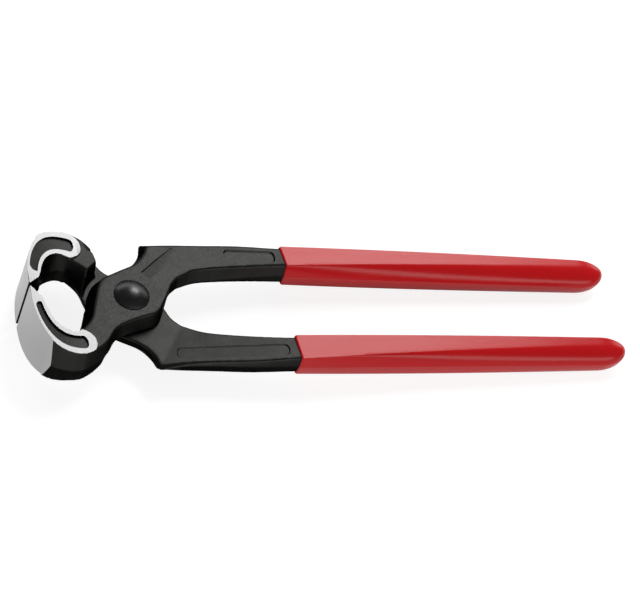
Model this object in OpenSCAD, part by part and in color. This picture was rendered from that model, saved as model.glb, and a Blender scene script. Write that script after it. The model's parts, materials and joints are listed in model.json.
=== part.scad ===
// Carpenters' pincers: two equal forged levers on a rivet, with ground cutting jaws and dipped grips.
// The origin is the middle of the closed cutting edges, and X runs from there to the handles.
// Z is parallel to the rivet, and z = 0 is where the levers meet. Each piece is drawn about the rivet and then placed.

/* [Overall] */
// From the rivet to the cutting edge
edge_reach = 42; // [38:0.5:48]
// From the rivet to the end of the grips
tail_reach = 208; // [170:1:260]

/* [Jaws] */
// Width of the cutting edge
edge_w = 27.4; // [24:0.2:32]
// Half height of the closed jaws
jaw_half_h = 29.3; // [27:0.1:32]
// Length of the jaws from the edge to their tallest place
jaw_len = 16.6; // [15:0.2:18]
// Thickness of a jaw behind its cutting edge
jaw_wall = 5.4; // [4.6:0.1:6]
// Thickness of a jaw at its tallest place
jaw_depth = 10.7; // [9:0.1:11]
// Flat left on each cutting edge
edge_land = 0.3; // [0.2:0.05:0.6]
// Gap between the closed cutting edges
edge_gap = 0.3; // [0.2:0.05:0.6]
// How far the inner bevel runs back from the edge
bevel_len = 5; // [4:0.1:6]
// Depth of the forged groove in the ground rim
groove_depth = 1.1; // [0.5:0.1:1.6]
// Width of the ground rim beside the groove
rim_w = 2.7; // [2:0.1:3]

/* [Joint] */
// Thickness of one joint plate
plate_t = 7.4; // [6.4:0.1:9]
// Radius of the joint plates about the rivet
joint_r = 12; // [11:0.1:13]
// Radius of the rivet's shank
rivet_r = 5; // [4:0.1:6]
// Radius of the rivet's heads
head_r = 7.4; // [6.8:0.1:8]
// Height of the rivet's heads
head_h = 3.4; // [2:0.1:4]
// How far the forged sides lean out over the thickness of a plate
draft_run = 3.2; // [2.4:0.1:3.6]

/* [Handles] */
// Height of the shoulder where the handle leaves the joint
shoulder_h = 24.4; // [23:0.2:27]
// Height of the handle's middle at the mouth of the grip
mouth_h = 22.5; // [20:0.2:26]
// Height of the handle's middle at its end
tail_h = 19.8; // [16:0.2:26]
// Width of the steel at the mouth of the grip
shank_w = 9.2; // [8:0.1:11]
// Thickness of the steel at the mouth of the grip
shank_t = 9.8; // [8:0.1:11]
// Diameter of the steel at its end
tang_d = 10.2; // [9:0.1:12]

/* [Grips] */
// Where the grips begin
mouth_x = 66; // [60:0.5:80]
// Thickness of the dipped plastic along the grip
grip_wall = 0.6; // [0.5:0.05:1.6]
// Thickness of the dipped plastic over the end of the handle
grip_end = 4; // [2:0.1:6]
// Length of the rounded end of the grip
grip_round = 11; // [8:0.5:14]

/* [Fits] */
// Gap between the two joint plates
mate_gap = 0.1; // [0.06:0.02:0.2]
// Radial play of the rivet in the back lever
rivet_play = 0.05; // [0.02:0.01:0.1]
// Gap under the rivet's back head
head_gap = 0.1; // [0.06:0.02:0.2]
// Gap between the steel and the plastic
grip_fit = 0.05; // [0.02:0.01:0.1]

/* [Hidden] */
$fn = 96;

steel = "#4a4a4a";
rivet_steel = "#3c3c3c";
plastic = "#b01c20";

// Jaw ovals: a rounded-square curve about the middle of the jaws
jaw_x = jaw_len - edge_reach;
oval_power = 2.3;
bite_len = jaw_len - jaw_wall;
bite_h = jaw_half_h - jaw_depth;
bite_run = draft_run / 2;
bevel_angle = 192;
bevel_rise = bevel_len - 0.3;
// The ground rim ends in an arc that stands a step above the joint plate
rim_end_r = jaw_depth / 2 + 0.9;
rim_end = [jaw_x + 1.6, -jaw_half_h + rim_end_r - 0.3];
rim_end_x = rim_end[0] + rim_end_r;
rim_step = 0.4;
flare_bow = 0.8;
grind_stock = 0.7;
// Room that each lever leaves for the other one's plate
pocket_r = joint_r + 6;
pocket_lean = 0.27;
far = 60;

// Outline of the neck, the joint plate and the handle's root, and how far their sides lean out
rim_in = [jaw_x + 2, 0.3 - bite_h];
rim_out = [jaw_x + 3.2, 0.4 - jaw_half_h];
neck_in_x = 17.5;
neck_out_x = 13.5;
neck_out_y = 23;
neck_back_z = 6;
// The neck behind the mating plane, between its inner side and a steep wall
neck_side = [[-16, -23.6], [-20.9, -24], [-20.9, -17.8], [-18.4, -14.7], [-16.2, -12.3], [-14, -10]];
neck_wall = [for (p = [[2, -11], [0.6, -15], [0, -18.2], [-0.6, -21]]) [p[0] - joint_r, p[1]]];
neck_lean = -0.3;
neck_run = 1.8;
waist_run = 1.6;
jaw_run = draft_run - 1.2;
waist_in = 3.2;
waist_out = 5.4;
plate_swell = 1.1;
plate_dip = 1.2;
rise_out = 4;
crotch_in = 1.4;
crotch_out = 5.2;
crotch_x = 20;
crotch_y = 9.3;
shoulder_x = 9.6;
root_x = 32;
plate_run = 2.2;
crotch_run = 0.9;
part_rise = 0.9;
back_lean = 0.6;
root_run = 1.8;
lap_z = mate_gap / 2 + 0.01;

// Handle: reach of its flats above and below its middle, at the mouth of the grip and at the end, and how far the
// flats' edges bow out between
ramp_x = joint_r;
tang_x = tail_reach - grip_end;
half_w = shank_w / 2;
edge_bow = 0.65;
front_above = [half_w - 0.15, 3.3, edge_bow];
front_below = [half_w - 0.95, -2.6, -edge_bow];
back_above = [half_w + 0.35, -1.9, -edge_bow];
back_below = [half_w + 0.6, 3.1, edge_bow];
side_reach = [half_w + 0.9, tang_d / 2, 0];
side_round = [0.4, 0.85];
quad = 4;

// A point on the oval of half lengths a and b, at an angle
function power(v) = sign(v) * pow(abs(v), 2 / oval_power);
function oval(a, b, t) = [jaw_x + a * power(cos(t)), b * power(sin(t))];
function polar(r, t) = r * [cos(t), sin(t)];
function mix(a, b, u) = a + (b - a) * u;
// How far x has gone from x0 to x1, from 0 to 1
function share(x, x0, x1) = min(1, max(0, (x - x0) / (x1 - x0)));

// Half thickness of the jaws, ground to a shallow hollow from the edge to the end of the rim
function flare(x) = let (u = share(-x, -rim_end_x, edge_reach))
    mix(plate_t + rim_step, edge_w / 2, u) - 4 * flare_bow * u * (1 - u);

// Height of a lever's front face: the plate, then a long slope down to the handle
function front_z(x) = x < 0 ? flare(x) : plate_t + rim_step * (1 - share(x, 0, ramp_x))
    + (shank_t / 2 - plate_t) * share(x, ramp_x, mouth_x) + (tang_d - shank_t) / 2 * share(x, mouth_x, tang_x);

// A station is a row of 18 numbers: left and right edges at the front, at the parting line and at the back,
// their four heights, how round the sides are, and the height of the parting line
function station(lf, lp, rf, rp, lb, rb, zl, zr, round_side, part_z = 0) =
    concat(lf, lp, rf, rp, lb, rb, [front_z(lf[0]), front_z(rf[0]), zl, zr, round_side, part_z]);

// One side of a section from its front edge by way of the parting line to its back edge
function bulge(t, k) = k * sin(t) + (1 - k) * (1 - cos(t));
function side(front, part, back, zf, zp, zb, k) = concat(
    [for (i = [0:quad]) let (t = 90 * i / quad, p = mix(front, part, bulge(t, k)))
        [p[0], p[1], zp + (zf - zp) * cos(t)]],
    [for (i = [1:quad]) let (t = 90 - 90 * i / quad, p = mix(back, part, bulge(t, k)))
        [p[0], p[1], zp + (zb - zp) * cos(t)]]);
function turned(list) = [for (i = [len(list) - 1:-1:0]) list[i]];
function ring(s) = concat(
    side([s[4], s[5]], [s[6], s[7]], [s[10], s[11]], s[13], s[17], s[15], s[16]),
    turned(side([s[0], s[1]], [s[2], s[3]], [s[8], s[9]], s[12], s[17], s[14], s[16])));

// A smooth curve through rows of numbers, with its own count of steps after each row
function bend(a, b, c, d, u) = b + 0.5 * u * (c - a + u * (2 * a - 5 * b + 4 * c - d + u * (3 * (b - c) + d - a)));
function smooth(rows, steps) = [for (i = [1:len(rows) - 3], k = [0:steps[i - 1] - 1])
    bend(rows[i - 1], rows[i], rows[i + 1], rows[i + 2], k / steps[i - 1])];

// A closed skin over rings of equal length, whose two halves face each other
module skin(rings) {
    n = len(rings[0]);
    last = (len(rings) - 1) * n;
    walls = [for (i = [0:len(rings) - 2], j = [0:n - 1], half = [0, 1])
        let (a = i * n + j, b = i * n + (j + 1) % n, c = a + n, d = b + n)
        half == 0 ? [a, d, b] : [a, c, d]];
    first_cap = [for (k = [0:n / 2 - 2], half = [0, 1])
        half == 0 ? [k, n - 2 - k, n - 1 - k] : [k, k + 1, n - 2 - k]];
    last_cap = [for (f = first_cap) [last + f[0], last + f[2], last + f[1]]];
    polyhedron(points = [for (r = rings) each r], faces = concat(walls, first_cap, last_cap));
}

// Lower jaw: from the cutting edge round to its tallest place
function jaw_station(t) = let (
    lf = oval(bite_len, bite_h, t), rf = oval(jaw_len + grind_stock, jaw_half_h, t),
    lp = oval(bite_len - bite_run, bite_h - bite_run, t),
    rp = oval(jaw_len + draft_run, jaw_half_h + jaw_run, t))
    station(lf, lp, rf, rp, lf, rf, -flare(lf[0]), -flare(rf[0]), 0);
function edge_station() = let (
    y = -edge_gap / 2, l = [edge_land - edge_reach, y], r = [-edge_reach - grind_stock, y], p = r - [draft_run, 0])
    station(l, l, r, p, l, r, -flare(l[0]), -flare(r[0]), 0);
function bevel_station() = let (
    l = [bevel_len - edge_reach, -bevel_rise], r = oval(jaw_len + grind_stock, jaw_half_h, bevel_angle),
    p = oval(jaw_len + draft_run, jaw_half_h + jaw_run, bevel_angle))
    station(l, l, r, p, l, r, -flare(l[0]), -flare(r[0]), 0);
jaw_stations = concat([edge_station(), bevel_station()], [for (t = [204:8:260]) jaw_station(t)]);

// Neck, joint plate and shoulder: edges at the front, the way each side leans, and the back's heights
function joint_station(l, l_way, l_run, r, r_way, r_run, zl, zr, round_side = 0, part_z = 0, l_lean = back_lean) =
    station(l, l + polar(l_run, l_way), r, r + polar(r_run, r_way),
        l + polar(l_run * l_lean, l_way), r + polar(r_run * back_lean, r_way), zl, zr, round_side, part_z);
joint_rows = [
    jaw_station(252),
    jaw_station(262),
    // End of the rim and neck
    joint_station(rim_in, 90, bite_run, rim_out, 278, jaw_run, -flare(rim_in[0]), -flare(rim_out[0])),
    joint_station([-neck_in_x, -joint_r], 150, draft_run, [-neck_out_x, -neck_out_y], 315, neck_run,
        -plate_t, -neck_back_z, l_lean = neck_lean),
    // Joint plate
    joint_station(polar(joint_r + waist_in, 193), 165, draft_run, polar(joint_r + waist_out, 243), 305, waist_run,
        lap_z, lap_z),
    joint_station(polar(joint_r + plate_swell, 149), 145, draft_run, polar(joint_r - plate_dip, 278), 290, plate_run,
        lap_z, lap_z),
    joint_station(polar(joint_r, 112), 112, draft_run, polar(joint_r, 319), 315, plate_run, lap_z, lap_z),
    joint_station(polar(joint_r + rise_out, 76), 118, draft_run, polar(joint_r + crotch_in, 353), 335, crotch_run,
        lap_z, lap_z),
    // Shoulder, with the crotch of the handles opposite
    joint_station([shoulder_x - 1.6, shoulder_h - 3.8], 112, draft_run * 0.9, polar(joint_r + crotch_out, 16), 330,
        crotch_run / 3, lap_z, lap_z, 0, part_rise / 2),
    joint_station([shoulder_x - 0.2, shoulder_h - 0.6], 101, draft_run * 1.7, [crotch_x - 1.1, crotch_y - 1.3], 315,
        crotch_run, lap_z, lap_z, 0, part_rise),
    joint_station([shoulder_x + 0.4, shoulder_h + 0.1], 100, draft_run * 1.7, [crotch_x, crotch_y], 310,
        crotch_run * 1.3, lap_z, lap_z, 0, part_rise),
    // Root of the handle, where its inner face draws away from the other lever
    joint_station([crotch_x - 2, shoulder_h + 0.9], 90, draft_run, [crotch_x + 5, crotch_y + 3.1], 295, root_run,
        -0.15 * shank_t / 2, -0.11 * shank_t / 2, 0.2, part_rise / 3),
    joint_station([root_x, shoulder_h + 1.7], 90, draft_run * 0.7, [root_x, mouth_h - 7.9], 280, root_run,
        -0.4 * shank_t / 2, -0.31 * shank_t / 2, 0.3),
    joint_station([root_x + 16, mouth_h + 4.5], 90, draft_run / 2, [root_x + 16, mouth_h - 5.7], 270, root_run,
        -0.68 * shank_t / 2, -0.63 * shank_t / 2, 0.4),
    handle_station(mouth_x),
    handle_station(mouth_x + 16)];
joint_steps = [2, 5, 5, 4, 4, 4, 4, 3, 1, 1, 4, 4, 4];

// Handle: flats that narrow toward the end, with sides that grow round
function reach(ends, u, grow) = mix(ends[0], ends[1], u) + 4 * ends[2] * u * (1 - u) + grow;
function handle_station(x, grow = 0, squeeze = 1) = let (
    u = share(x, mouth_x, tang_x), y = mix(mouth_h, tail_h, u), z = (front_z(x) + grow) * squeeze)
    concat([x, y + squeeze * reach(front_above, u, grow)], [x, y + squeeze * reach(side_reach, u, grow)],
        [x, y - squeeze * reach(front_below, u, grow)], [x, y - squeeze * reach(side_reach, u, grow)],
        [x, y + squeeze * reach(back_above, u, grow)], [x, y - squeeze * reach(back_below, u, grow)],
        [z, z, -z, -z, mix(side_round[0], side_round[1], u), 0]);
handle_steps = 12;
end_steps = 6;
function rounded(u) = max(sqrt(1 - u * u), 0.04);
function handle_stations(x0, x1, grow, end_len) = concat(
    [for (i = [0:handle_steps]) handle_station(mix(x0, x1 - end_len, i / handle_steps), grow)],
    [for (k = [1:end_steps]) let (u = sin(90 * k / end_steps))
        handle_station(x1 - end_len * (1 - u), grow, rounded(u))]);

// Forged groove between the inner and the outer ground rim, which are thinner beside the edge
module groove() {
    thin_rims = [0.7, 0.44] * rim_w;
    mid_len = [bite_len + thin_rims[0], jaw_len - thin_rims[1]];
    mid_h = [bite_h + rim_w, jaw_half_h - rim_w];
    angles = [196, 197, 199, 206, 216, 226, 236, 246, 256, 266, 274, 280, 283.5, 285.5, 286.5];
    widths = [0.3, 0.75, 1, 1, 1, 1, 1, 1, 1, 1, 1, 0.96, 0.8, 0.55, 0.2];
    skin([for (i = [0:len(angles) - 1]) let (
        a = oval(mid_len[0], mid_h[0], angles[i]), b = oval(mid_len[1], mid_h[1], angles[i]),
        m = (a + b) / 2, p = mix(m, a, widths[i]), q = mix(m, b, widths[i]))
        [[q[0], q[1], far], [q[0], q[1], flare(q[0]) - groove_depth],
            [p[0], p[1], flare(p[0]) - groove_depth], [p[0], p[1], far]]]);
}

// What the grinding of the outer jaw face takes away
module ground_face() {
    bend_at = 234;
    curve = [for (t = [180:3:bend_at]) oval(jaw_len, jaw_half_h, t)];
    tail = curve[len(curve) - 1] + [3, -12];
    linear_extrude(2 * far, center = true)
        polygon(concat([[-edge_reach, 1]], curve, [tail, [tail[0], -far], [-2 * far, -far], [-2 * far, 1]]));
}

// What is above the flat of the joint plate, up to the end of the ground rim
module above_plate() {
    translate([0, 0, plate_t]) linear_extrude(far) difference() {
        translate([rim_end[0], -far]) square([ramp_x - rim_end[0], 2 * far]);
        translate(rim_end) circle(rim_end_r);
    }
}

// Room for the other lever's plate, round the rivet and beside the neck
module pocket() {
    depth = edge_w;
    translate([0, 0, mate_gap / 2 - depth]) {
        cylinder(h = depth, r1 = pocket_r + pocket_lean * depth, r2 = pocket_r);
        linear_extrude(depth) polygon(concat(neck_wall, [[-neck_out_x, -far], [0, -far], [0, -joint_r]]));
    }
}

module lever() {
    difference() {
        union() {
            skin([for (s = concat(jaw_stations, smooth(joint_rows, joint_steps),
                handle_stations(mouth_x, tang_x, 0, tang_d / 2))) ring(s)]);
            translate([0, 0, -plate_t]) linear_extrude(plate_t) polygon(concat(neck_side, neck_wall));
        }
        ground_face();
        pocket();
        for (side_z = [0, 1]) mirror([0, 0, side_z]) {
            groove();
            above_plate();
        }
        cylinder(h = 4 * plate_t, r = rivet_r + rivet_play, center = true);
    }
}

module grip() {
    outside = handle_stations(mouth_x, tail_reach, grip_wall, grip_round);
    inside = handle_stations(mouth_x, tang_x + grip_fit, grip_fit, tang_d / 2);
    difference() {
        skin([for (s = outside) ring(s)]);
        skin([for (s = concat([handle_station(mouth_x - grip_wall, grip_fit)], inside)) ring(s)]);
    }
}

module placed() { translate([edge_reach, 0, 0]) children(); }
module front_lever() { color(steel) placed() lever(); }
module back_lever() { color(steel) placed() rotate([180, 0, 0]) lever(); }
module front_grip() { color(plastic) placed() grip(); }
module back_grip() { color(plastic) placed() rotate([180, 0, 0]) grip(); }

module rivet_head() {
    ball = (head_r * head_r + head_h * head_h) / (2 * head_h);
    rotate_extrude() intersection() {
        translate([0, head_h - ball]) circle(ball);
        square([head_r, head_h]);
    }
}
module rivet() {
    color(rivet_steel) placed() {
        translate([0, 0, -plate_t - head_gap]) cylinder(h = 2 * plate_t + head_gap, r = rivet_r);
        translate([0, 0, plate_t]) rivet_head();
        translate([0, 0, -plate_t - head_gap]) rotate([180, 0, 0]) rivet_head();
    }
}

front_lever();
back_lever();
rivet();
front_grip();
back_grip();
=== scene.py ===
"""Dresses the CAD frame of a pair of end cutting pincers: forged levers, a peened rivet and dipped grips."""

import json
import math

import bpy
from bpy.props import FloatProperty, FloatVectorProperty, IntProperty, PointerProperty
from mathutils import Matrix, Vector


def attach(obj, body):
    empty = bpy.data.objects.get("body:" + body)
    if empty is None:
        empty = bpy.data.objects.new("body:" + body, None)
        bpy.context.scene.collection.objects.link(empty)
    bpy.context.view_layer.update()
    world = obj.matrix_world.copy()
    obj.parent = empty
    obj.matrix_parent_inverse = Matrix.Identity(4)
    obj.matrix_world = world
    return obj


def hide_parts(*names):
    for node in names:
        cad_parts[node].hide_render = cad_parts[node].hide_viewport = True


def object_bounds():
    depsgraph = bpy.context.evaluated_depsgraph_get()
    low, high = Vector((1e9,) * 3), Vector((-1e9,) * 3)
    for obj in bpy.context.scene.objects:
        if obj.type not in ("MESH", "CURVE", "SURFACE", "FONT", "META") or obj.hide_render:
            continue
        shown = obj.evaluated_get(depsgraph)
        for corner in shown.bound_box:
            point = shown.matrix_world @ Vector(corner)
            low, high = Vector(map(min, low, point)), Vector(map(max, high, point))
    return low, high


bl_info = {
    "name": "End Cutting Pincers",
    "version": (1, 0, 0),
    "blender": (4, 5, 0),
    "location": "View3D > Sidebar > Pincers",
    "description": "Forged levers, peened rivet and dipped grips round the pincers' CAD frame",
    "category": "Object",
}

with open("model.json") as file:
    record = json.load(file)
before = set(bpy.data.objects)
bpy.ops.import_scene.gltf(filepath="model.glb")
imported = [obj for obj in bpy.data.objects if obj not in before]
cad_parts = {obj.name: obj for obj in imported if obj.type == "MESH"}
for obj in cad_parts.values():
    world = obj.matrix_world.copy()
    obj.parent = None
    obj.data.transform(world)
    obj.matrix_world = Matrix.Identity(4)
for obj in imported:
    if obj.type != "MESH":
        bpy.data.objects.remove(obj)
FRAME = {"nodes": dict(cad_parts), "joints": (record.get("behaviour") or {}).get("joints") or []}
CAD_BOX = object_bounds()
RIVET = Vector(FRAME["joints"][0]["pos_m"])
MM = 0.001

# Sizes of the part's source that the looks follow, in millimetres about the rivet
EDGE_REACH = 42.0
EDGE_WIDTH = 27.4
JAW_LENGTH = 16.6
JAW_HALF_HEIGHT = 29.3
JAW_WALL = 5.4
JAW_DEPTH = 10.7
JAW_X = JAW_LENGTH - EDGE_REACH
OVAL_POWER = 2.3
PLATE = 7.4
RIM_STEP = 0.4
RIM_WIDTH = 2.7
RIM_END_X = JAW_X + 1.6 + JAW_DEPTH / 2 + 0.9
FLARE_BOW = 0.8
HEAD_RADIUS = 7.4
HEAD_HEIGHT = 3.4
HEAD_GAP = 0.1
SHANK_RADIUS = 5.0
GRIP_WALL = 0.6
MOUTH_X = 66.0
MOUTH_Y = 22.5
TAIL_X = 208.0
TAIL_Y = 19.8
TANG_X = 204.0
RAMP_X = 12.0
SHANK_HALF_WIDTH = 4.6
SHANK_HALF_THICK = 4.9
TANG_RADIUS = 5.1

# How far cutters run on past the steel, and half the height of those that go right through it
CLEAR = 20.0
THROUGH = 30.0
MERGE = 0.001 * MM
STEEL_SMOOTH = math.radians(32)
GRIP_SMOOTH = math.radians(15)


def linear(hex_code):
    """Linear colour of an sRGB hex value."""
    parts = [int(hex_code[i:i + 2], 16) / 255 for i in (1, 3, 5)]
    return [p / 12.92 if p <= 0.04045 else ((p + 0.055) / 1.055) ** 2.4 for p in parts]


def spot(x, y, z):
    """A place in the frame from millimetres about the rivet."""
    return RIVET + Vector((x, y, z)) * MM


def mix(a, b, share):
    return a + (b - a) * share


def share(x, start, end):
    """How far x has gone from start to end, from 0 to 1."""
    return min(1.0, max(0.0, (x - start) / (end - start)))


def oval(a, b, degrees):
    """A point on the jaws' rounded-square oval of half lengths a and b."""
    c, s = math.cos(math.radians(degrees)), math.sin(math.radians(degrees))
    power = 2 / OVAL_POWER
    return (JAW_X + a * math.copysign(abs(c) ** power, c), b * math.copysign(abs(s) ** power, s))


def flare(x):
    """Half thickness of the jaws: a shallow hollow from the rim's end out to the wide cutting edge."""
    u = share(-x, -RIM_END_X, EDGE_REACH)
    return mix(PLATE + RIM_STEP, EDGE_WIDTH / 2, u) - 4 * FLARE_BOW * u * (1 - u)


class PincersSizes(bpy.types.PropertyGroup):
    """Sizes that shape the looks."""

    voxel: FloatProperty(
        name="Forging voxel", description="Grain of the forged skin",
        default=0.4 * MM, min=0.2 * MM, max=1 * MM, unit="LENGTH", precision=5)
    forged_round: IntProperty(
        name="Forged rounding", description="Smoothing passes over the joint and the handles",
        default=12, min=0, max=40)
    jaw_round: FloatProperty(
        name="Jaw rounding", description="Share of that smoothing on the jaws",
        default=0.5, min=0, max=1, subtype="FACTOR")
    grind: FloatProperty(
        name="Grinding depth", description="Steel that grinding takes off the jaws",
        default=0.25 * MM, min=0.05 * MM, max=0.4 * MM, unit="LENGTH", precision=5)
    groove_depth: FloatProperty(
        name="Groove depth", description="Depth of the groove in the ground rims",
        default=1.2 * MM, min=0.5 * MM, max=2 * MM, unit="LENGTH", precision=5)
    plate_depth: FloatProperty(
        name="Plate depth", description="Depth of the bare plates sunk in the handles",
        default=0.75 * MM, min=0.2 * MM, max=1 * MM, unit="LENGTH", precision=5)
    dip_wall: FloatProperty(
        name="Dip wall", description="Thickness of the dipped plastic",
        default=0.55 * MM, min=0.4 * MM, max=1.5 * MM, unit="LENGTH", precision=5)


class PincersColours(bpy.types.PropertyGroup):
    """Colours of the finishes."""

    forged: FloatVectorProperty(
        name="Forged steel", description="Black phosphated steel", subtype="COLOR", size=3,
        min=0, max=1, default=linear("#2c2c2b"))
    ground: FloatVectorProperty(
        name="Ground steel", description="Bare ground steel of the jaws", subtype="COLOR", size=3,
        min=0, max=1, default=linear("#a4a4a4"))
    lapped: FloatVectorProperty(
        name="Lapped steel", description="Bare lapped steel of the jaws' rims", subtype="COLOR", size=3,
        min=0, max=1, default=linear("#bababa"))
    rivet: FloatVectorProperty(
        name="Rivet steel", description="Peened and blackened rivet", subtype="COLOR", size=3,
        min=0, max=1, default=linear("#424242"))
    dip: FloatVectorProperty(
        name="Dipped plastic", description="Red dipped vinyl", subtype="COLOR", size=3,
        min=0, max=1, default=linear("#c8161b"))
    floor: FloatVectorProperty(
        name="Floor", description="Pale floor", subtype="COLOR", size=3,
        min=0, max=1, default=linear("#a8a8a8"))


def add(tree, kind, inputs=None, **settings):
    """Adds a node with its settings, and sets or links its inputs."""
    node = tree.nodes.new(kind)
    for name, value in settings.items():
        setattr(node, name, value)
    for name, value in (inputs or {}).items():
        if isinstance(value, bpy.types.NodeSocket):
            tree.links.new(value, node.inputs[name])
        else:
            node.inputs[name].default_value = value
    return node


def start_material(name):
    """A new node material, its tree, its shader and its object coordinates."""
    material = bpy.data.materials.new(name)
    material.use_nodes = True
    tree = material.node_tree
    tree.nodes.clear()
    shader = add(tree, "ShaderNodeBsdfPrincipled")
    add(tree, "ShaderNodeOutputMaterial", {"Surface": shader.outputs["BSDF"]})
    coordinates = add(tree, "ShaderNodeTexCoord").outputs["Object"]
    return material, tree, shader, coordinates


def per_metre(millimetres):
    """Noise scale for a pattern whose grains are this size."""
    return 1 / (millimetres * MM)


def tint(colour, factor):
    """A colour made lighter or darker."""
    return [min(1.0, c * factor) for c in colour] + [1.0]


def weather(tree, shader, colour, blotch, grain, shades, roughness, bump, relief):
    """Drives a shader's colour with one noise, and its roughness and relief in mm with another."""
    tone = add(tree, "ShaderNodeMix", {
        "Factor": blotch.outputs["Fac"], "A": tint(colour, shades[0]), "B": tint(colour, shades[1])},
        data_type="RGBA")
    tree.links.new(tone.outputs["Result"], shader.inputs["Base Color"])
    rough = add(tree, "ShaderNodeMapRange", {
        "Value": grain.outputs["Fac"], "From Min": 0.3, "From Max": 0.7,
        "To Min": roughness[0], "To Max": roughness[1]})
    tree.links.new(rough.outputs["Result"], shader.inputs["Roughness"])
    bumps = add(tree, "ShaderNodeBump", {
        "Height": grain.outputs["Fac"], "Strength": bump, "Distance": relief * MM})
    tree.links.new(bumps.outputs["Normal"], shader.inputs["Normal"])


def forged_steel(colour):
    """Phosphated forging: a dull black skin, mottled by scale, with fine pits from the die."""
    material, tree, shader, coordinates = start_material("forged_black_steel")
    cloud = add(tree, "ShaderNodeTexNoise", {"Vector": coordinates, "Scale": per_metre(7), "Detail": 4})
    # Pits of 0.1 mm are drawn at 0.6 mm, so that they show
    pits = add(tree, "ShaderNodeTexNoise", {
        "Vector": coordinates, "Scale": per_metre(0.6), "Detail": 5, "Roughness": 0.6})
    weather(
        tree, shader, colour, cloud, pits,
        shades=(0.8, 1.25), roughness=(0.36, 0.5), bump=0.4, relief=0.06)
    shader.inputs["Metallic"].default_value = 1.0
    shader.inputs["Specular Tint"].default_value = tint(colour, 0.5)
    return material


def ground_steel(name, colour, smoothest, roughest):
    """Bare steel off the grinding wheel: bright, with fine scratches across the jaws."""
    material, tree, shader, coordinates = start_material(name)
    # Scratches of 0.05 mm are drawn at 0.5 mm, so that they show
    lines = add(tree, "ShaderNodeMapping", {"Vector": coordinates, "Scale": (1, 1, 0.04)})
    scratch = add(tree, "ShaderNodeTexNoise", {
        "Vector": lines.outputs["Vector"], "Scale": per_metre(0.5), "Detail": 4, "Roughness": 0.7})
    weather(
        tree, shader, colour, scratch, scratch,
        shades=(0.92, 1.06), roughness=(smoothest, roughest), bump=0.12, relief=0.02)
    shader.inputs["Metallic"].default_value = 1.0
    return material


def rivet_steel(colour):
    """Peened rivet: blackened steel, smoother and glossier than the forging."""
    material, tree, shader, coordinates = start_material("peened_black_steel")
    marks = add(tree, "ShaderNodeTexNoise", {"Vector": coordinates, "Scale": per_metre(1.6), "Detail": 4})
    weather(
        tree, shader, colour, marks, marks,
        shades=(0.9, 1.1), roughness=(0.3, 0.36), bump=0.05, relief=0.05)
    shader.inputs["Metallic"].default_value = 1.0
    shader.inputs["Specular Tint"].default_value = tint(colour, 3)
    return material


def dipped_vinyl(colour):
    """Dip-moulded soft vinyl: a wet-looking red skin that ripples a little where it ran."""
    material, tree, shader, coordinates = start_material("dipped_red_vinyl")
    runs = add(tree, "ShaderNodeMapping", {"Vector": coordinates, "Scale": (0.12, 1, 1)})
    ripple = add(tree, "ShaderNodeTexNoise", {
        "Vector": runs.outputs["Vector"], "Scale": per_metre(5), "Detail": 2})
    weather(
        tree, shader, colour, ripple, ripple,
        shades=(0.93, 1.07), roughness=(0.2, 0.28), bump=0.1, relief=0.1)
    shader.inputs["Specular IOR Level"].default_value = 0.2
    return material


def pick(piece):
    """Makes a piece the only selected object, and active."""
    bpy.ops.object.select_all(action="DESELECT")
    piece.select_set(True)
    bpy.context.view_layer.objects.active = piece


def edit(piece, *steps):
    """Runs edit-mode operators, each with its settings, on the whole of a piece."""
    pick(piece)
    bpy.ops.object.mode_set(mode="EDIT")
    bpy.ops.mesh.select_all(action="SELECT")
    for operator, settings in steps:
        operator(**settings)
    bpy.ops.object.mode_set(mode="OBJECT")


def finish(piece, kind, **settings):
    """Adds a modifier with its settings and applies it."""
    modifier = piece.modifiers.new(kind.lower(), kind)
    for name, value in settings.items():
        setattr(modifier, name, value)
    pick(piece)
    bpy.ops.object.modifier_apply(modifier=modifier.name)


def newest(name, material):
    """Names the primitive that was just added, and gives it a material."""
    piece = bpy.context.object
    piece.name = piece.data.name = name
    piece.data.materials.append(material)
    return piece


def raise_solid(piece, height):
    """Extrudes a flat or curved sheet along Z into a closed solid."""
    edit(
        piece,
        (bpy.ops.mesh.extrude_region_move, {"TRANSFORM_OT_translate": {"value": (0, 0, height * MM)}}),
        (bpy.ops.mesh.select_all, {"action": "SELECT"}),
        (bpy.ops.mesh.normals_make_consistent, {"inside": False}))
    return piece


def outline_cutter(points, low, high, material):
    """A straight cutter over an outline, from one height to another."""
    bpy.ops.object.select_all(action="DESELECT")
    bpy.ops.mesh.primitive_circle_add(vertices=len(points), fill_type="NGON")
    cutter = newest("cutter", material)
    for vertex, (x, y) in zip(cutter.data.vertices, points):
        vertex.co = spot(x, y, low)
    return raise_solid(cutter, high - low)


def sheet_cutter(columns, rows, shape, height, material):
    """A cutter over a curved sheet, whose shape gives the place of each point of a grid."""
    bpy.ops.object.select_all(action="DESELECT")
    bpy.ops.mesh.primitive_grid_add(x_subdivisions=columns, y_subdivisions=rows, size=2)
    cutter = newest("cutter", material)
    for vertex in cutter.data.vertices:
        vertex.co = spot(*shape((vertex.co.x + 1) / 2, vertex.co.y))
    return raise_solid(cutter, height)


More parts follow.
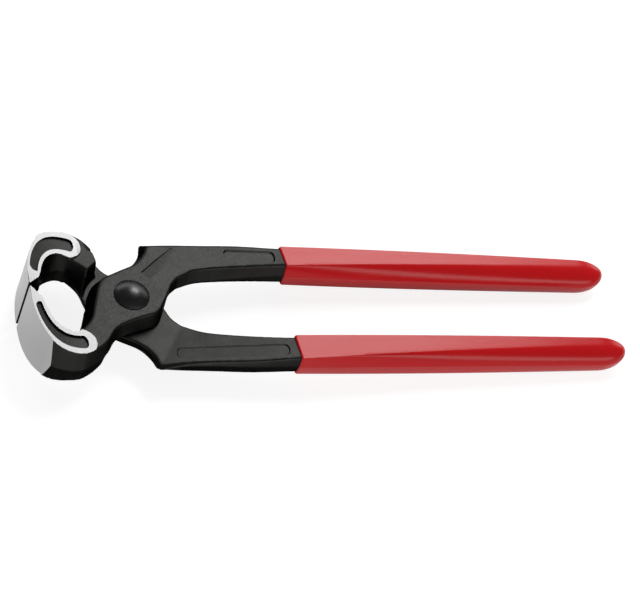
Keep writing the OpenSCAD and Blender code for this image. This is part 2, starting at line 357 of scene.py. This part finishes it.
def plate_cutter(centre, length, width, turn, slope, lean, corner, material):
    """A cutter for a sunk plate with round corners, whose floor is turned, sloped and leaned in degrees."""
    bpy.ops.object.select_all(action="DESELECT")
    bpy.ops.mesh.primitive_cube_add(size=1)
    cutter = newest("cutter", material)
    tall, draft = 3.0, math.radians(32)
    for vertex in cutter.data.vertices:
        vertex.co = Vector((vertex.co.x * length, vertex.co.y * width, (vertex.co.z + 0.5) * tall)) * MM
    pick(cutter)
    bpy.ops.object.mode_set(mode="EDIT")
    bpy.ops.mesh.select_mode(type="EDGE")
    bpy.ops.mesh.select_all(action="DESELECT")
    bpy.ops.object.mode_set(mode="OBJECT")
    for edge in cutter.data.edges:
        a, b = (cutter.data.vertices[i].co for i in edge.vertices)
        edge.select = abs(a.z - b.z) > MM
    bpy.ops.object.mode_set(mode="EDIT")
    bpy.ops.mesh.bevel(offset=corner * MM, segments=8, affect="EDGES")
    bpy.ops.object.mode_set(mode="OBJECT")
    # The sides slope outwards, as a forging die's do
    spread = 2 * tall * math.tan(draft)
    for vertex in cutter.data.vertices:
        if vertex.co.z > tall * MM / 2:
            vertex.co.x *= 1 + spread / length
            vertex.co.y *= 1 + spread / width
    place = Matrix.Translation(spot(*centre))
    for degrees, axis in ((turn, "Z"), (slope, "Y"), (lean, "X")):
        place = place @ Matrix.Rotation(math.radians(degrees), 4, axis)
    cutter.matrix_world = place
    pick(cutter)
    bpy.ops.object.transform_apply(location=True, rotation=True, scale=True)
    return cutter


def carve(piece, cutter):
    """Cuts a piece, whose new faces take the cutter's material, and removes the cutter."""
    finish(piece, "BOOLEAN", operation="DIFFERENCE", object=cutter, solver="EXACT", material_mode="TRANSFER")
    bpy.data.objects.remove(cutter)


def forged_copy(node, name, material, sizes):
    """A CAD node's mesh as a new piece, merged and given the soft skin of a forging."""
    piece = bpy.data.objects.new(name, FRAME["nodes"][node].data.copy())
    bpy.context.collection.objects.link(piece)
    piece.data.materials.clear()
    piece.data.materials.append(material)
    edit(piece, (bpy.ops.mesh.remove_doubles, {"threshold": MERGE}))
    finish(piece, "REMESH", mode="VOXEL", voxel_size=sizes.voxel, use_smooth_shade=True)
    # The jaws keep crisper edges than the rest, with a short run between
    run = 6
    forged = piece.vertex_groups.new(name="forged")
    for vertex in piece.data.vertices:
        x = (vertex.co.x - RIVET.x) / MM
        forged.add([vertex.index], mix(sizes.jaw_round, 1, share(x, RIM_END_X, RIM_END_X + run)), "REPLACE")
    finish(piece, "SMOOTH", factor=0.5, iterations=sizes.forged_round, vertex_group="forged")
    piece.vertex_groups.clear()
    return piece


def grind_jaw(lever, sizes, ground, lapped, forged):
    """Grinds both sides of the rim, the outer face and the cutting edge."""
    off = sizes.grind / MM
    past_edge, past_rim, half_width = 4, 1, 40
    for way in (1, -1):
        def rim(u, v):
            x = mix(-EDGE_REACH - past_edge, RIM_END_X + past_rim, u)
            return x, v * half_width, way * (flare(x) - off)
        carve(lever, sheet_cutter(48, 1, rim, way * CLEAR, lapped))
    ground_arc = range(180, 235, 2)
    curve = [oval(JAW_LENGTH - off, JAW_HALF_HEIGHT - off, degrees) for degrees in ground_arc]
    tail = (curve[-1][0] + 3, curve[-1][1] - 12)
    left, low, top = -EDGE_REACH - CLEAR, -60, 1
    outer = [(curve[0][0], top)] + curve + [tail, (tail[0], low), (left, low), (left, top)]
    carve(lever, outline_cutter(outer, -THROUGH, THROUGH, ground))
    # The back corner beyond the ground face is taken down, fading in and out round the oval
    first, last = 236, 292
    fade_in, fade_out = (236, 255), (268, 290)
    stand_off, bite, outside = 1, -0.2, 5

    def shed(u, v):
        angle, out = mix(first, last, u), (v + 1) / 2
        worn = share(angle, *fade_in) * (1 - share(angle, *fade_out))
        reach = mix(mix(stand_off, bite, worn), outside, out)
        x, y = oval(JAW_LENGTH + reach, JAW_HALF_HEIGHT + reach, angle)
        return x, y, mix(-flare(x), -1.0, out)
    carve(lever, sheet_cutter(24, 2, shed, -CLEAR, forged))
    # The edges are parted, widest at the outer face, so that a dark line shows between the jaws
    meet, parted = -0.18, -1.25
    slope_end, inside, above = -EDGE_REACH + 1.8, -EDGE_REACH + 6, 4
    parting = [
        (left, 3 * parted), (-EDGE_REACH, parted), (slope_end, meet),
        (inside, meet), (inside, above), (left, above)]
    carve(lever, outline_cutter(parting, -THROUGH, THROUGH, forged))


def sink_grooves(lever, sizes, forged):
    """Cuts the forged groove between the two ground rims, on both sides."""
    depth = sizes.groove_depth / MM
    # The cutter covers the groove of the part's source, and takes more from its inner side
    over, more = 0.15, 0.42
    inner_rim, outer_rim = 0.7 * RIM_WIDTH, 0.44 * RIM_WIDTH
    inner = (JAW_LENGTH - JAW_WALL + inner_rim - more, JAW_HALF_HEIGHT - JAW_DEPTH + RIM_WIDTH - more)
    outer = (JAW_LENGTH - outer_rim + over, JAW_HALF_HEIGHT - RIM_WIDTH + over)
    first, last = 195.6, 286.9
    round_start, round_end = 0.035, 0.075
    for way in (1, -1):
        def floor(u, v):
            # The groove on the back of each jaw is wider, and runs on a little further
            back = 0.3 if way < 0 else 0.0
            angle = mix(first, last + 5 * back, u)
            a = Vector(oval(inner[0] - back, inner[1] - back, angle))
            b = Vector(oval(*outer, angle))
            # The ends are half round, as far in as the groove is half wide
            near = min(u / round_start, (1 - u) / round_end, 1.0)
            half = (b - a) / 2 * math.sqrt(max(0.01, 1 - (1 - near) ** 2))
            x, y = (a + b) / 2 + half * v
            return x, y, way * (flare(x) - depth)
        carve(lever, sheet_cutter(72, 4, floor, way * CLEAR, forged))


def sink_plates(lever, sizes, forged):
    """Cuts the bare plates: a short one and a slanting one in front, and a long one behind."""
    deep = sizes.plate_depth / MM
    slope = (SHANK_HALF_THICK - PLATE) / (MOUTH_X - RAMP_X)
    back_slope, back_face = 0.094, -2.6
    short_x, slant_x = 52.4, 14.2

    def front(x):
        return PLATE + slope * max(0.0, x - RAMP_X)
    carve(lever, plate_cutter(
        (short_x, 22.3, front(short_x) - deep), length=21, width=4.9, turn=1.4,
        slope=-math.degrees(math.atan(slope)), lean=0, corner=1.9, material=forged))
    carve(lever, plate_cutter(
        (slant_x, 16.2, front(slant_x) - deep / 3), length=18.8, width=4.2, turn=42.8,
        slope=0, lean=-4.5, corner=0.3, material=forged))
    carve(lever, plate_cutter(
        (38.9, 22.7, back_face + deep), length=44.5, width=5.1, turn=0.7,
        slope=180 + math.degrees(math.atan(back_slope)), lean=0, corner=2.3, material=forged))


class PINCERS_OT_levers(bpy.types.Operator):
    """Forge one lever, grind its jaw, sink its grooves and plates, and turn a copy over for the other"""

    bl_idname = "pincers.levers"
    bl_label = "Forged Levers"

    def execute(self, context):
        sizes, colours = context.scene.pincers_sizes, context.scene.pincers_colours
        forged = forged_steel(colours.forged)
        ground = ground_steel("ground_bright_steel", colours.ground, smoothest=0.3, roughest=0.38)
        lapped = ground_steel("lapped_bright_steel", colours.lapped, smoothest=0.58, roughest=0.68)
        front = forged_copy("front_lever", "front_lever_forging", forged, sizes)
        grind_jaw(front, sizes, ground, lapped, forged)
        sink_grooves(front, sizes, forged)
        sink_plates(front, sizes, forged)
        pick(front)
        bpy.ops.object.shade_smooth_by_angle(angle=STEEL_SMOOTH)
        bpy.ops.object.duplicate()
        back = context.object
        back.name = back.data.name = "back_lever_forging"
        back.rotation_euler.x = math.pi
        bpy.ops.object.transform_apply(location=False, rotation=True, scale=False)
        for piece, body, node in ((front, "front", "front_lever"), (back, "back", "back_lever")):
            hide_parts(node)
            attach(piece, body)
        return {"FINISHED"}


class PINCERS_OT_rivet(bpy.types.Operator):
    """Turn the rivet's shank and peen a domed head at each end"""

    bl_idname = "pincers.rivet"
    bl_label = "Peened Rivet"

    def execute(self, context):
        material = rivet_steel(context.scene.pincers_colours.rivet)
        ball = (HEAD_RADIUS ** 2 + HEAD_HEIGHT ** 2) / (2 * HEAD_HEIGHT)
        seam, lip, sides = 0.25, 0.35, 96
        heads = []
        for way, seat in ((1, PLATE), (-1, -PLATE - HEAD_GAP)):
            bpy.ops.object.select_all(action="DESELECT")
            bpy.ops.mesh.primitive_uv_sphere_add(segments=sides, ring_count=sides, radius=ball * MM)
            head = newest("head", material)
            edit(
                head,
                (bpy.ops.mesh.bisect, {
                    "plane_co": (0, 0, (ball - HEAD_HEIGHT + seam) * MM), "plane_no": (0, 0, 1),
                    "clear_inner": True, "use_fill": True}),
                (bpy.ops.mesh.inset, {"thickness": lip * MM}),
                (bpy.ops.mesh.extrude_region_move, {"TRANSFORM_OT_translate": {"value": (0, 0, -seam * MM)}}))
            head.matrix_world = Matrix.Translation(spot(0, 0, seat + way * (HEAD_HEIGHT - ball)))
            if way < 0:
                head.rotation_euler.x = math.pi
            pick(head)
            bpy.ops.object.transform_apply(location=True, rotation=True, scale=True)
            heads.append(head)
        bpy.ops.object.select_all(action="DESELECT")
        bpy.ops.mesh.primitive_cylinder_add(
            vertices=sides, radius=SHANK_RADIUS * MM, depth=(2 * PLATE + HEAD_GAP) * MM,
            location=spot(0, 0, -HEAD_GAP / 2))
        rivet = newest("peened_rivet", material)
        bpy.ops.object.transform_apply(location=True, rotation=True, scale=True)
        for head in heads:
            head.select_set(True)
        bpy.ops.object.join()
        bpy.ops.object.shade_smooth_by_angle(angle=STEEL_SMOOTH)
        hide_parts("rivet")
        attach(rivet, "front")
        return {"FINISHED"}


# Reach of a handle's flats from its middle: at the grip's mouth, at its end, and the bow between
BOW = 0.65
FRONT_ABOVE = (SHANK_HALF_WIDTH - 0.15, 3.3, BOW)
FRONT_BELOW = (SHANK_HALF_WIDTH - 0.95, -2.6, -BOW)
BACK_ABOVE = (SHANK_HALF_WIDTH + 0.35, -1.9, -BOW)
BACK_BELOW = (SHANK_HALF_WIDTH + 0.6, 3.1, BOW)
SIDE = (SHANK_HALF_WIDTH + 0.9, TANG_RADIUS, 0.0)
SIDE_ROUND = (0.4, 0.85)
ARC = 14
FLAT = 6


def handle_outline(x, grow, squeeze):
    """Points round a handle's section: lower side from front to back, back, upper side, front."""
    u = share(x, MOUTH_X, TANG_X)
    middle = mix(MOUTH_Y, TAIL_Y, u)
    thick = mix(SHANK_HALF_THICK, TANG_RADIUS, u) + grow
    k = mix(*SIDE_ROUND, u)

    def reach(ends):
        return mix(ends[0], ends[1], u) + 4 * ends[2] * u * (1 - u)

    def quarter(flat, degrees):
        """Reach and height between a flat's edge and the parting line."""
        t = math.radians(degrees)
        bulge = k * math.sin(t) + (1 - k) * (1 - math.cos(t))
        return mix(reach(flat), reach(SIDE), bulge) + grow, thick * math.cos(t)
    turns = [90 * i / ARC for i in range(ARC + 1)]
    points = [(-r, z) for r, z in (quarter(FRONT_BELOW, t) for t in turns)]
    points += [(-r, -z) for r, z in (quarter(BACK_BELOW, t) for t in turns[-2::-1])]
    upper = [(r, -z) for r, z in (quarter(BACK_ABOVE, t) for t in turns)]
    upper += [(r, z) for r, z in (quarter(FRONT_ABOVE, t) for t in turns[-2::-1])]
    for side_end, side_start in ((points[-1], upper[0]), (upper[-1], points[0])):
        flat = [(mix(side_end[0], side_start[0], i / FLAT), side_end[1]) for i in range(1, FLAT)]
        points += flat + (upper if side_start is upper[0] else [])
    return [(middle + squeeze * y, squeeze * z) for y, z in points]


def dip_handle(name, material, sizes, outer, inner, nose):
    """A dipped sleeve, whose mouth runs on by outer and inner, and whose nose stands off its middle."""
    end_round, lip, fade = 12.0, 0.25, 25.0
    # Rows crowd towards the mouth, where the lip rolls in
    along, end_rows, crowd = 64, 24, 1.3
    around = len(handle_outline(MOUTH_X, 0, 1))
    rows = along + end_rows
    bpy.ops.object.select_all(action="DESELECT")
    bpy.ops.mesh.primitive_grid_add(x_subdivisions=rows, y_subdivisions=around, size=2)
    sleeve = newest(name, material)
    outlines = []
    for row in range(rows + 1):
        if row <= along:
            x, squeeze = mix(MOUTH_X, TAIL_X - end_round, (row / along) ** crowd), 1.0
        else:
            u = math.sin(math.pi / 2 * (row - along) / end_rows)
            x, squeeze = TAIL_X - end_round * (1 - u), math.sqrt(max(0.0, 1 - u * u))
        rolled = 1 - share(x, MOUTH_X, MOUTH_X + lip)
        grow = GRIP_WALL - lip * (1 - math.sqrt(1 - rolled ** 2))
        outlines.append((x, (1 - squeeze) ** 2, handle_outline(x, grow, squeeze)))
    for vertex in sleeve.data.vertices:
        row = round((vertex.co.x + 1) / 2 * rows)
        column = round((vertex.co.y + 1) / 2 * around) % around
        x, off, outline = outlines[row]
        y, z = outline[column]
        side = share(y, MOUTH_Y - SHANK_HALF_WIDTH, MOUTH_Y + SHANK_HALF_WIDTH)
        run = mix(inner, outer, side) * (1 - share(x, MOUTH_X, MOUTH_X + fade))
        vertex.co = spot(x + run, y + off * nose[0], z + off * nose[1])
    edit(
        sleeve,
        (bpy.ops.mesh.remove_doubles, {"threshold": MERGE}),
        (bpy.ops.mesh.normals_make_consistent, {"inside": False}))
    finish(sleeve, "SOLIDIFY", thickness=sizes.dip_wall, offset=-1.0)
    bpy.ops.object.shade_smooth_by_angle(angle=GRIP_SMOOTH)
    return sleeve


class PINCERS_OT_grips(bpy.types.Operator):
    """Dip each handle: wrap a grid round it, close its end and give it a wall, then turn the back one over"""

    bl_idname = "pincers.grips"
    bl_label = "Dipped Grips"

    def execute(self, context):
        sizes = context.scene.pincers_sizes
        material = dipped_vinyl(context.scene.pincers_colours.dip)
        front = dip_handle("front_grip_sleeve", material, sizes, outer=0.0, inner=1.3, nose=(1.2, 0.9))
        back = dip_handle("back_grip_sleeve", material, sizes, outer=-0.8, inner=-1.8, nose=(-1.2, -0.9))
        back.rotation_euler.x = math.pi
        pick(back)
        bpy.ops.object.transform_apply(location=False, rotation=True, scale=False)
        for piece, body, node in ((front, "front", "front_grip"), (back, "back", "back_grip")):
            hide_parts(node)
            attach(piece, body)
        return {"FINISHED"}


def softbox(name, aim, direction, distance, width, height, power):
    """A rectangular lamp that faces a point from a direction."""
    lamp = bpy.data.lights.new(name, "AREA")
    lamp.shape, lamp.size, lamp.size_y, lamp.energy = "RECTANGLE", width, height, power
    box = bpy.data.objects.new(name, lamp)
    bpy.context.collection.objects.link(box)
    way = Vector(direction).normalized()
    box.location = aim + way * distance
    box.rotation_euler = way.to_track_quat("Z", "Y").to_euler()
    box.visible_camera = False


class PINCERS_OT_stage(bpy.types.Operator):
    """Lay the pale floor under the tool, light it softly and set the camera"""

    bl_idname = "pincers.stage"
    bl_label = "Stage"

    def execute(self, context):
        scene = context.scene
        low, high = CAD_BOX
        middle = (low + high) / 2
        jaw_low, tail_low, tail_in = low.z, -5.75 * MM, 5 * MM
        # The tool lies on its jaws and on the ends of its grips, so the floor leans that much
        lean = math.atan2(tail_low - jaw_low, high.x - tail_in)
        bpy.ops.object.select_all(action="DESELECT")
        bpy.ops.mesh.primitive_plane_add(size=8, location=(0, 0, jaw_low), rotation=(0, -lean, 0))
        floor = context.object
        floor.name = "floor"
        floor.data.materials.append(self.floor_paint(scene.pincers_colours.floor))
        softbox(
            "softbox_over", middle, direction=(0.24, 0.515, 0.675), distance=0.88,
            width=0.38, height=0.36, power=4.1)
        softbox(
            "softbox_back", middle, direction=(0.25, 0.93, 0.31), distance=1.0,
            width=2.2, height=0.6, power=10)
        softbox(
            "softbox_front", middle, direction=(0.1, -0.95, 0.27), distance=1.1,
            width=2.0, height=0.3, power=8)
        world = bpy.data.worlds.new("studio")
        scene.world = world
        world.use_nodes = True
        tree = world.node_tree
        tree.nodes.clear()
        sky = add(tree, "ShaderNodeBackground", {"Color": (1, 1, 1, 1), "Strength": 0.15})
        add(tree, "ShaderNodeOutputWorld", {"Surface": sky.outputs["Background"]})
        camera = bpy.data.cameras.new("camera")
        camera.lens, camera.sensor_width = 157.5, 36.0
        camera.clip_start, camera.clip_end = 0.05, 20
        view = bpy.data.objects.new("camera", camera)
        context.collection.objects.link(view)
        view.location = Vector((-246.867, -640.38, 838.424)) * MM
        view.rotation_euler = [math.radians(a) for a in (38.8123, -15.8376, -11.1265)]
        scene.camera = view
        scene.view_settings.view_transform = "Standard"
        return {"FINISHED"}

    def floor_paint(self, colour):
        """Matt white paint that looks white to the eye and in metal, and still takes a soft shadow."""
        material, tree, shader, coordinates = start_material("matt_white_floor")
        shader.inputs["Roughness"].default_value = 0.9
        shader.inputs["Specular IOR Level"].default_value = 0.0
        dust = add(tree, "ShaderNodeTexNoise", {"Vector": coordinates, "Scale": per_metre(40), "Detail": 2})
        tone = add(tree, "ShaderNodeMix", {
            "Factor": dust.outputs["Fac"], "A": tint(colour, 0.98), "B": tint(colour, 1.0)}, data_type="RGBA")
        tree.links.new(tone.outputs["Result"], shader.inputs["Base Color"])
        strength = 0.83
        path = add(tree, "ShaderNodeLightPath")
        seen = add(tree, "ShaderNodeMath", {
            0: path.outputs["Is Camera Ray"], 1: path.outputs["Is Glossy Ray"]}, operation="MAXIMUM")
        seen = add(tree, "ShaderNodeMath", {
            0: seen.outputs["Value"], 1: path.outputs["Is Transmission Ray"]}, operation="MAXIMUM")
        glow = add(tree, "ShaderNodeMath", {0: seen.outputs["Value"], 1: strength}, operation="MULTIPLY")
        shader.inputs["Emission Color"].default_value = (1, 1, 1, 1)
        tree.links.new(glow.outputs["Value"], shader.inputs["Emission Strength"])
        return material


class PINCERS_PT_panel(bpy.types.Panel):
    """Lists the pincers' sizes, colours and pieces"""

    bl_idname = "PINCERS_PT_panel"
    bl_label = "End Cutting Pincers"
    bl_space_type = "VIEW_3D"
    bl_region_type = "UI"
    bl_category = "Pincers"

    def draw(self, context):
        for group in (context.scene.pincers_sizes, context.scene.pincers_colours):
            box = self.layout.box()
            for name in group.__annotations__:
                box.prop(group, name)
        for operator in OPERATORS:
            self.layout.operator(operator.bl_idname)


OPERATORS = (PINCERS_OT_stage, PINCERS_OT_levers, PINCERS_OT_rivet, PINCERS_OT_grips)
CLASSES = (PincersSizes, PincersColours, *OPERATORS, PINCERS_PT_panel)


def register():
    for each in CLASSES:
        bpy.utils.register_class(each)
    bpy.types.Scene.pincers_sizes = PointerProperty(type=PincersSizes)
    bpy.types.Scene.pincers_colours = PointerProperty(type=PincersColours)


def unregister():
    del bpy.types.Scene.pincers_colours
    del bpy.types.Scene.pincers_sizes
    for each in reversed(CLASSES):
        bpy.utils.unregister_class(each)


def main():
    register()
    bpy.ops.pincers.stage()
    bpy.ops.pincers.levers()
    bpy.ops.pincers.rivet()
    bpy.ops.pincers.grips()


if __name__ == "__main__":
    main()
